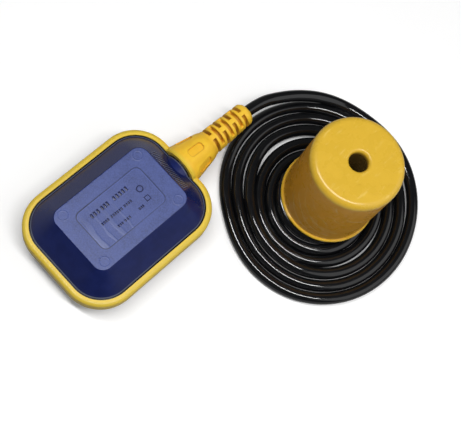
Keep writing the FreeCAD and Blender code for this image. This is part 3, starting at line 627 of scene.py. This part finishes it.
def closed_stack(work, rings):
    """Join rings into a closed solid."""
    for low, high in zip(rings, rings[1:]):
        join_rings(work, low, high)
    work.faces.new(rings[0][::-1])
    work.faces.new(rings[-1])


def round_curve(name, points, radius, material):
    """A round cord on one smooth spline that the points steer."""
    curve = bpy.data.curves.new(name, "CURVE")
    curve.dimensions = "3D"
    curve.bevel_depth = radius
    curve.bevel_resolution = 6
    curve.resolution_u = 6
    curve.use_fill_caps = True
    spline = curve.splines.new("NURBS")
    spline.points.add(len(points) - 1)
    for control, point in zip(spline.points, points):
        control.co = (*point, 1.0)
    spline.order_u = 3
    spline.use_endpoint_u = True
    return riding_piece(name, curve, material)


LEAD_POINTS = (
    (0.1082, 0.0, 0.02075),
    (0.1200, -0.0006, 0.02075),
    (0.1328, -0.0055, 0.01895),
    (0.1472, -0.0124, 0.01475),
    (0.1612, -0.0226, 0.00955),
    (0.1712, -0.0358, 0.00545),
    (0.1770, -0.0520, 0.00385),
)
TABLE_STEPS = 12
# Millimetres from the coil's centre to the cable's centreline, every 30 degrees, wound clockwise from +X.
# Each row is a turn.
TURN_RADII = (
    67.4, 65.0, 62.9, 63.5, 65.2, 65.8, 63.7, 60.9, 63.5, 65.7, 65.4, 62.4,
    59.5, 55.8, 54.9, 55.8, 57.4, 57.6, 55.6, 53.3, 55.5, 57.5, 57.2, 54.7,
    51.6, 47.9, 46.9, 48.1, 49.4, 50.1, 48.8, 47.0, 47.3, 49.6, 48.8, 46.3,
    43.2, 40.3, 39.0, 39.6, 41.1, 42.3, 42.0, 40.4, 39.6, 39.7, 39.4, 38.0,
    35.5, 32.7, 31.4, 32.0, 33.5, 34.5, 34.2, 32.7, 31.9, 31.8, 31.0, 29.5,
    28.1, 27.0, 26.3, 26.7, 27.3, 27.55, 27.3, 26.7, 26.3,
)
# Millimetres that the centreline is lifted where a turn lies on its neighbours, at the same places.
TURN_LIFTS = (
    0.0, 0.0, 0.0, 0.0, 0.0, 0.0, 0.0, 0.0, 0.0, 0.0, 0.0, 0.0,
    0.0, 0.0, 0.0, 0.0, 0.0, 0.0, 0.0, 0.0, 0.0, 0.0, 0.0, 0.0,
    0.0, 0.0, 0.0, 0.0, 0.3, 2.9, 4.6, 4.2, 2.6, 0.3, 0.0, 0.0,
    0.0, 0.0, 0.0, 0.0, 0.0, 0.0, 0.0, 0.0, 0.0, 0.0, 0.0, 0.0,
    0.0, 0.0, 0.0, 0.0, 0.0, 0.0, 0.0, 0.0, 0.0, 0.0, 0.3, 1.8,
    3.6, 5.0, 5.5, 5.5, 4.7, 3.8, 3.4, 4.6, 5.1,
)
FLOOR_CLEARANCE = 0.00005
MILLIMETRES = 1000.0


def table_value(table, steps):
    """A smooth value between the entries of a table, after a number of its steps."""
    last = len(table) - 1
    index = min(int(steps), last - 1)
    part = steps - index
    before, here, there, after = (table[min(max(index + offset, 0), last)] for offset in (-1, 0, 1, 2))
    slope = (there - before) / 2.0
    next_slope = (after - here) / 2.0
    rise = there - here
    bend = 3.0 * rise - 2.0 * slope - next_slope
    twist = slope + next_slope - 2.0 * rise
    return here + part * (slope + part * (bend + part * twist))


def coil_point(cable, turned):
    """Control point of the coil after a number of turns."""
    steps = turned * TABLE_STEPS
    angle = -2.0 * math.pi * turned
    radius = table_value(TURN_RADII, steps) / MILLIMETRES / math.cos(math.pi / cable.points_per_turn)
    lift = max(0.0, table_value(TURN_LIFTS, steps)) / MILLIMETRES
    x, y = cable.coil_place
    height = cable.radius + FLOOR_CLEARANCE + lift
    return Vector((x + radius * math.cos(angle), y + radius * math.sin(angle), height))


def cable_points(cable):
    """Control points of the whole cable: the lead and then the coil's turns."""
    points = [Vector(point) for point in LEAD_POINTS]
    turns = (len(TURN_RADII) - 1) / TABLE_STEPS
    for index in range(int(turns * cable.points_per_turn) + 1):
        points.append(coil_point(cable, index / cable.points_per_turn))
    return points


def spline_length(piece):
    """Length of a curve's own line."""
    bare = piece.data.copy()
    bare.bevel_depth = 0.0
    probe = placed("length_probe", bare)
    bpy.context.view_layer.update()
    line = bpy.data.meshes.new_from_object(probe.evaluated_get(bpy.context.evaluated_depsgraph_get()))
    ends = ([line.vertices[index].co for index in edge.vertices] for edge in line.edges)
    length = sum((far - near).length for near, far in ends)
    bpy.data.objects.remove(probe)
    bpy.data.meshes.remove(line)
    bpy.data.curves.remove(bare)
    return length


CORE_COLOURS = (
    ("brown", (0.115, 0.035, 0.012)),
    ("blue", (0.010, 0.060, 0.330)),
    ("black", (0.010, 0.010, 0.011)),
)
CORE_SPREAD = 0.0021
CORE_RADIUS = 0.0011
CORE_INSIDE = 0.002
CORE_CROWDING = 0.55
# How a free core runs from its foot: ahead, less this much of its spread, then aside and down.
CORE_STEPS = (
    (0.000, 0.0, 0.000, 0.0000),
    (0.008, 0.0, 0.000, 0.0000),
    (0.013, 1.0, 0.004, 0.0022),
    (0.012, 2.0, 0.012, 0.0055),
    (0.009, 3.4, 0.021, 0.0075),
    (0.008, 4.4, 0.029, 0.0079),
)
BARE_LENGTH = 0.007
BARE_INSIDE = 0.001
STRANDS = 7
STRAND_RADIUS = 0.0002
STRAND_LAY = 0.0004
STRAND_TWIST = 2.4


# ---------------------------------------------------------------- operators
class FLOATSWITCH_OT_camera(bpy.types.Operator):
    """Put up the camera"""

    bl_idname = "float_switch.camera"
    bl_label = "Camera"

    def execute(self, context):
        view = context.scene.float_switch_camera
        data = bpy.data.cameras.new("picture_camera")
        data.lens = view.lens
        data.sensor_fit = "HORIZONTAL"
        data.clip_start = 0.01
        camera = placed("picture_camera", data)
        right = Vector(view.side).normalized()
        up = Vector(view.upward).normalized()
        turn = Matrix((right, up, right.cross(up))).transposed()
        camera.matrix_world = Matrix.Translation(Vector(view.place)) @ turn.to_4x4()
        context.scene.camera = camera
        return {"FINISHED"}


class FLOATSWITCH_OT_cable(bpy.types.Operator):
    """Lay the cable from the strain relief round into its coil, with its parted free end"""

    bl_idname = "float_switch.cable"
    bl_label = "Cable"

    def execute(self, context):
        cable = context.scene.float_switch_cable
        sheath = cable_sheath(cable.colour)
        points = cable_points(cable)
        cord = round_curve("cable", points, cable.radius, sheath)
        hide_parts("cable_lead", "cable_coil")
        dress(sheath, "cable_sheath_end", "black_core")
        ends = self.free_end(points)
        length = spline_length(cord)
        print("cable length %.3f m" % length)
        return {"FINISHED"}

    def free_end(self, points):
        """The three parted cores and their stripped copper, curling into the coil's hollow."""
        tip = points[-1]
        along = (points[-1] - points[-2]).normalized()
        across = Vector((0, 0, 1)).cross(along).normalized()
        copper = bare_metal("stripped_copper", (0.90, 0.42, 0.24), 0.30, (1.0, 1.0, 0.2))
        pieces = []
        strands = bmesh.new()
        for index, (word, colour) in enumerate(CORE_COLOURS):
            spread = (index - 1) * CORE_SPREAD
            foot = tip - along * CORE_INSIDE + across * spread * CORE_CROWDING
            steer = [
                foot + along * (ahead - less * spread) - across * aside - Vector((0, 0, down))
                for ahead, less, aside, down in CORE_STEPS
            ]
            skin = moulded_plastic(word + "_core_skin", colour, 0.38, 2600.0, 0.05, 700.0)
            core = round_curve(word + "_free_core", steer, CORE_RADIUS, skin)
            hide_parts(word + "_tail")
            pieces.append(core)
            direction = (steer[-1] - steer[-2]).normalized()
            self.strand_bundle(strands, steer[-1] - direction * BARE_INSIDE, direction)
            if word != "black":
                dress(skin, word + "_core")
        name = "stripped_strands"
        bundle = riding_piece(name, mesh_from(name, strands), copper)
        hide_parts("copper_ends")
        pieces.append(bundle)
        return pieces

    def strand_bundle(self, work, start, direction):
        """Seven fine copper strands twisted together."""
        across = direction.orthogonal().normalized()
        other = direction.cross(across)
        rings = 12
        section = [(across * cosine + other * sine) * STRAND_RADIUS for cosine, sine in circle_points(6)]
        for strand in range(STRANDS):
            lay = 0.0 if strand == 0 else STRAND_LAY
            loops = []
            for ring in range(rings + 1):
                share = ring / rings
                turn = strand * math.pi / 3.0 + share * STRAND_TWIST
                aside = (across * math.cos(turn) + other * math.sin(turn)) * lay
                middle = start + direction * BARE_LENGTH * share + aside
                loops.append([work.verts.new(middle + place) for place in section])
            closed_stack(work, loops)


class FLOATSWITCH_OT_shells(bpy.types.Operator):
    """Finish the two blue float shells"""

    bl_idname = "float_switch.shells"
    bl_label = "Float shells"

    def execute(self, context):
        dress(float_blue(context.scene.float_switch_float), "upper_float_shell", "lower_float_shell")
        return {"FINISHED"}


# Rows of plain strokes: place across the panel, a stroke's height and thickness, pitch, and the groups' ends.
SIGN_ROWS = (
    (0.0070, 0.0029, 0.0014, 0.00215, ((-0.0175, -0.0105), (-0.0095, -0.0035), (-0.0005, 0.0110))),
    (-0.0005, 0.0017, 0.0010, 0.00155, ((-0.0155, -0.0098), (-0.0085, 0.0005), (0.0015, 0.0078))),
    (-0.0074, 0.0016, 0.0010, 0.00155, ((-0.0092, -0.0048), (-0.0040, 0.0010), (0.0072, 0.0113))),
)
SIGN_RING = ((0.0160, 0.0017), 0.0022, circle_points(24))
SIGN_SQUARE = ((0.0158, -0.0054), 0.0024, circle_points(4, math.pi / 4.0))
SIGN_WALL = 0.0006
SIGN_ROOT = 0.0001


class FLOATSWITCH_OT_signs(bpy.types.Operator):
    """Raise the plain signs on the panel of the upper shell"""

    bl_idname = "float_switch.signs"
    bl_label = "Panel signs"

    def execute(self, context):
        sizes = context.scene.float_switch_float
        ink = moulded_plastic("panel_sign_blue", tuple(sizes.sign_colour), 0.30, 1600.0, 0.08, 500.0)
        floor = FACE_Z - PANEL_DEPTH
        height = sizes.relief_height

        def marks(work):
            for y, tall, thick, pitch, groups in SIGN_ROWS:
                for start, end in groups:
                    count = round((end - start) / pitch)
                    for index in range(count):
                        middle = start + (index + 0.5) * (end - start) / count
                        self.stroke(work, middle, y, thick, tall, floor, height)
            self.loop(work, *SIGN_RING, floor, height)
            self.loop(work, *SIGN_SQUARE, floor, height)

        mesh_piece("panel_signs", marks, ink, 40.0)
        return {"FINISHED"}

    def stroke(self, work, x, y, thick, tall, floor, height):
        """One upright raised stroke with softened top edges."""
        top = floor + height
        rings = []
        for inset, z in ((0.0, floor - SIGN_ROOT), (0.0, floor + height * 0.5), (thick * 0.22, top)):
            half_x = thick / 2.0 - inset
            half_y = tall / 2.0 - inset
            corners = ((-half_x, -half_y), (half_x, -half_y), (half_x, half_y), (-half_x, half_y))
            rings.append([work.verts.new((x + over, y + along, z)) for over, along in corners])
        closed_stack(work, rings)

    def loop(self, work, place, radius, corners, floor, height):
        """A raised ring or frame through evenly spaced corners."""
        root, top = floor - SIGN_ROOT, floor + height
        inner = radius - SIGN_WALL
        rings = []
        for reach, z in ((radius, root), (radius, top), (inner, top), (inner, root)):
            rings.append([work.verts.new((place[0] + reach * cosine, place[1] + reach * sine, z))
                          for cosine, sine in corners])
        for low, high in zip(rings, rings[1:] + rings[:1]):
            join_rings(work, low, high)


class FLOATSWITCH_OT_rim(bpy.types.Operator):
    """Finish the yellow rim with its strain relief"""

    bl_idname = "float_switch.rim"
    bl_label = "Rim and strain relief"

    def execute(self, context):
        dress(rim_yellow(context.scene.float_switch_float), "sealing_rim")
        return {"FINISHED"}


COVER_CHAMFER = (0.0003, 0.0004)
COVER_SEAT = 0.0001
SPIGOT_TOP = 0.0042
BORE_WALL = 0.0019


class FLOATSWITCH_OT_counterweight(bpy.types.Operator):
    """Finish the counterweight, its ballast and its lock ring"""

    bl_idname = "float_switch.counterweight"
    bl_label = "Counterweight"

    def execute(self, context):
        weight = context.scene.float_switch_weight
        yellow = weight_yellow(tuple(weight.colour))
        dress(yellow, "counterweight_base")
        section = self.profile(weight)
        cover = mesh_piece("weight_cover", lambda work: self.turn(work, section), yellow)
        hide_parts("counterweight_shell")
        dress(moulded_plastic("lock_ring_grey", tuple(weight.ring_colour), 0.5), "cable_lock_ring")
        dress(bare_metal("cast_iron", (0.16, 0.15, 0.15), 0.62, scale=500.0), "counterweight_ballast")
        return {"FINISHED"}

    def profile(self, weight):
        """Closed half section of the cover: side, rounded edge, top, bore and hollow."""
        seat, high = WEIGHT_LOW.z + COVER_SEAT, WEIGHT_HIGH.z
        foot, edge, wall = weight.foot_radius, weight.edge, weight.wall
        bore, lip = weight.bore_radius, weight.lip
        shoulder = (WEIGHT_HIGH.x - WEIGHT_LOW.x) / 2.0 - edge
        spigot = WEIGHT_LOW.z + SPIGOT_TOP
        points = [(foot - COVER_CHAMFER[0], seat), (foot, seat + COVER_CHAMFER[1])]
        points += self.arc(shoulder, high - edge, edge, 0.0, 90.0, 10)
        points += self.arc(bore + lip, high - lip, lip, 90.0, 180.0, 7)
        points += [(bore, spigot), (bore + BORE_WALL, spigot), (bore + BORE_WALL, high - wall)]
        points += self.arc(shoulder, high - edge, edge - wall, 90.0, 0.0, 6)
        points.append((foot - wall, seat))
        return points

    def arc(self, radius, z, size, start, end, steps):
        """Points of an arc in the half section."""
        turns = [math.radians(start + (end - start) * step / steps) for step in range(steps + 1)]
        return [(radius + size * math.cos(turn), z + size * math.sin(turn)) for turn in turns]

    def turn(self, work, profile):
        """Turn a closed half section about the counterweight's axis."""
        x, y, _ = WEIGHT_MIDDLE
        rings = []
        for cosine, sine in circle_points(112):
            rings.append([work.verts.new((x + radius * cosine, y + radius * sine, z))
                          for radius, z in profile])
        for near, far in zip(rings, rings[1:] + rings[:1]):
            for index in range(len(profile)):
                after = (index + 1) % len(profile)
                work.faces.new((near[index], far[index], far[after], near[after]))


class FLOATSWITCH_OT_mechanism(bpy.types.Operator):
    """Finish the ball, the carrier and the microswitch inside the float"""

    bl_idname = "float_switch.mechanism"
    bl_label = "Switch mechanism"

    def execute(self, context):
        dress(bare_metal("polished_ball_steel", (0.72, 0.72, 0.74), 0.12, scale=300.0), "steel_ball")
        dress(bare_metal("sheet_steel", (0.62, 0.62, 0.64), 0.30, (1.0, 0.1, 1.0)),
              "carrier_screws", "microswitch_screws", "switch_lever", "lever_pin")
        dress(bare_metal("stamped_brass", (0.78, 0.56, 0.24), 0.28, (0.1, 1.0, 1.0)),
              "contact_blade", "common_terminal", "normally_open_terminal", "normally_closed_terminal",
              "tab_connectors")
        dress(bare_metal("contact_silver", (0.88, 0.88, 0.86), 0.20), "moving_contact", "fixed_contacts")
        dress(moulded_plastic("carrier_white", (0.76, 0.76, 0.73), 0.48), "switch_carrier", "carrier_lid")
        dress(moulded_plastic("switch_black", (0.014, 0.014, 0.015), 0.45),
              "microswitch_case", "microswitch_cover")
        dress(moulded_plastic("plunger_red", (0.56, 0.020, 0.014), 0.35), "switch_plunger")
        return {"FINISHED"}


FLOOR_REACH = 3.0
LIFT_RUN = (0.32, 0.85)
# The two lights' places from the part's middle, and their sizes.
OVERHEAD_PLACE, OVERHEAD_SIZE = Vector((-0.12, -0.03, 0.95)), (0.92, 0.06)
FILL_PLACE, FILL_SIZE = Vector((0.36, -0.86, 0.66)), (1.50, 1.10)


class FLOATSWITCH_OT_stage(bpy.types.Operator):
    """Lay the pale floor and hang the soft lights"""

    bl_idname = "float_switch.stage"
    bl_label = "Floor and lights"

    def execute(self, context):
        stage = context.scene.float_switch_stage
        self.floor(stage)
        middle = (Vector(CAD_BOX[0]) + Vector(CAD_BOX[1])) / 2.0
        self.lamp("overhead_light", middle + OVERHEAD_PLACE, middle, OVERHEAD_SIZE, stage.overhead)
        self.lamp("fill_light", middle + FILL_PLACE, middle, FILL_SIZE, stage.fill)
        context.scene.world = self.surround(stage)
        context.scene.view_settings.view_transform = "Standard"
        return {"FINISHED"}

    def surround(self, stage):
        """Faint light from all round, brighter above and on the float's far side, and white as seen."""
        world = bpy.data.worlds.new("studio_surround")
        world.use_nodes = True
        tree = world.node_tree
        background = tree.nodes["Background"]
        background.inputs["Color"].default_value = WHITE
        parts = add(tree, "ShaderNodeSeparateXYZ")
        tree.links.new(add(tree, "ShaderNodeTexCoord").outputs["Generated"], parts.inputs[0])
        level = ranged(tree, parts.outputs[2], 0.0, 0.9, stage.horizon, stage.zenith)
        pale_side = ranged(tree, parts.outputs[1], 0.35, 0.95, 0.0, stage.pale_side)
        strength = math_node(tree, "ADD", level, pale_side)
        seen = add(tree, "ShaderNodeLightPath").outputs["Is Camera Ray"]
        tree.links.new(math_node(tree, "MAXIMUM", strength, seen), background.inputs["Strength"])
        return world

    def floor(self, stage):
        """A wide pale floor under everything; far off it is as white as the surround."""
        work = bmesh.new()
        bmesh.ops.create_grid(work, x_segments=8, y_segments=8, size=FLOOR_REACH)
        mesh = bpy.data.meshes.new("floor")
        work.to_mesh(mesh)
        work.free()
        material, tree, shader = fresh_material("pale_floor")
        vector = object_place(tree)[0]
        white = (stage.floor_white,) * 3
        paper = mixed(tree, noise(tree, vector, 30.0), shaded(white, 0.99), shaded(white, 1.01))
        seen = add(tree, "ShaderNodeLightPath").outputs["Is Camera Ray"]
        paper = mixed(tree, seen, (stage.floor_bounce,) * 3, paper)
        tree.links.new(paper, shader.inputs["Base Color"])
        shader.inputs["Roughness"].default_value = 0.9
        shader.inputs["Specular IOR Level"].default_value = 0.1
        shader.inputs["Emission Color"].default_value = WHITE
        away = add(tree, "ShaderNodeVectorMath", operation="LENGTH")
        tree.links.new(vector, away.inputs[0])
        lift = ranged(tree, away.outputs["Value"], *LIFT_RUN, stage.floor_lift, 1.0)
        tree.links.new(times(tree, seen, lift), shader.inputs["Emission Strength"])
        mesh.materials.append(material)
        placed("floor", mesh)

    def lamp(self, name, place, target, size, power):
        """A rectangular soft light that faces a point."""
        data = bpy.data.lights.new(name, "AREA")
        data.shape = "RECTANGLE"
        data.size, data.size_y = size
        data.energy = power
        lamp = placed(name, data)
        lamp.location = place
        lamp.rotation_euler = (target - place).to_track_quat("-Z", "Y").to_euler()


# ---------------------------------------------------------------- panel and registration
OPERATORS = (
    FLOATSWITCH_OT_camera,
    FLOATSWITCH_OT_cable,
    FLOATSWITCH_OT_shells,
    FLOATSWITCH_OT_signs,
    FLOATSWITCH_OT_rim,
    FLOATSWITCH_OT_counterweight,
    FLOATSWITCH_OT_mechanism,
    FLOATSWITCH_OT_stage,
)
SETTINGS = (
    ("float_switch_camera", FloatSwitchCamera),
    ("float_switch_cable", FloatSwitchCable),
    ("float_switch_float", FloatSwitchFloat),
    ("float_switch_weight", FloatSwitchWeight),
    ("float_switch_stage", FloatSwitchStage),
)


class FLOATSWITCH_PT_panel(bpy.types.Panel):
    """Settings and steps of the float switch"""

    bl_idname = "FLOATSWITCH_PT_panel"
    bl_label = "Float switch"
    bl_space_type = "VIEW_3D"
    bl_region_type = "UI"
    bl_category = "Float switch"

    def draw(self, context):
        column = self.layout.column()
        for name, group in SETTINGS:
            box = column.box()
            for key in group.__annotations__:
                box.prop(getattr(context.scene, name), key)
        for operator in OPERATORS:
            column.operator(operator.bl_idname)


def register():
    """Register the classes and hang the settings on the scene."""
    for name, group in SETTINGS:
        bpy.utils.register_class(group)
        setattr(bpy.types.Scene, name, bpy.props.PointerProperty(type=group))
    for operator in OPERATORS:
        bpy.utils.register_class(operator)
    bpy.utils.register_class(FLOATSWITCH_PT_panel)


def unregister():
    """Take the classes and settings away again."""
    bpy.utils.unregister_class(FLOATSWITCH_PT_panel)
    for operator in reversed(OPERATORS):
        bpy.utils.unregister_class(operator)
    for name, group in reversed(SETTINGS):
        delattr(bpy.types.Scene, name)
        bpy.utils.unregister_class(group)


def main():
    """Build the whole scene."""
    register()
    bpy.ops.float_switch.camera()
    bpy.ops.float_switch.cable()
    bpy.ops.float_switch.shells()
    bpy.ops.float_switch.signs()
    bpy.ops.float_switch.rim()
    bpy.ops.float_switch.counterweight()
    bpy.ops.float_switch.mechanism()
    bpy.ops.float_switch.stage()


if __name__ == "__main__":
    main()
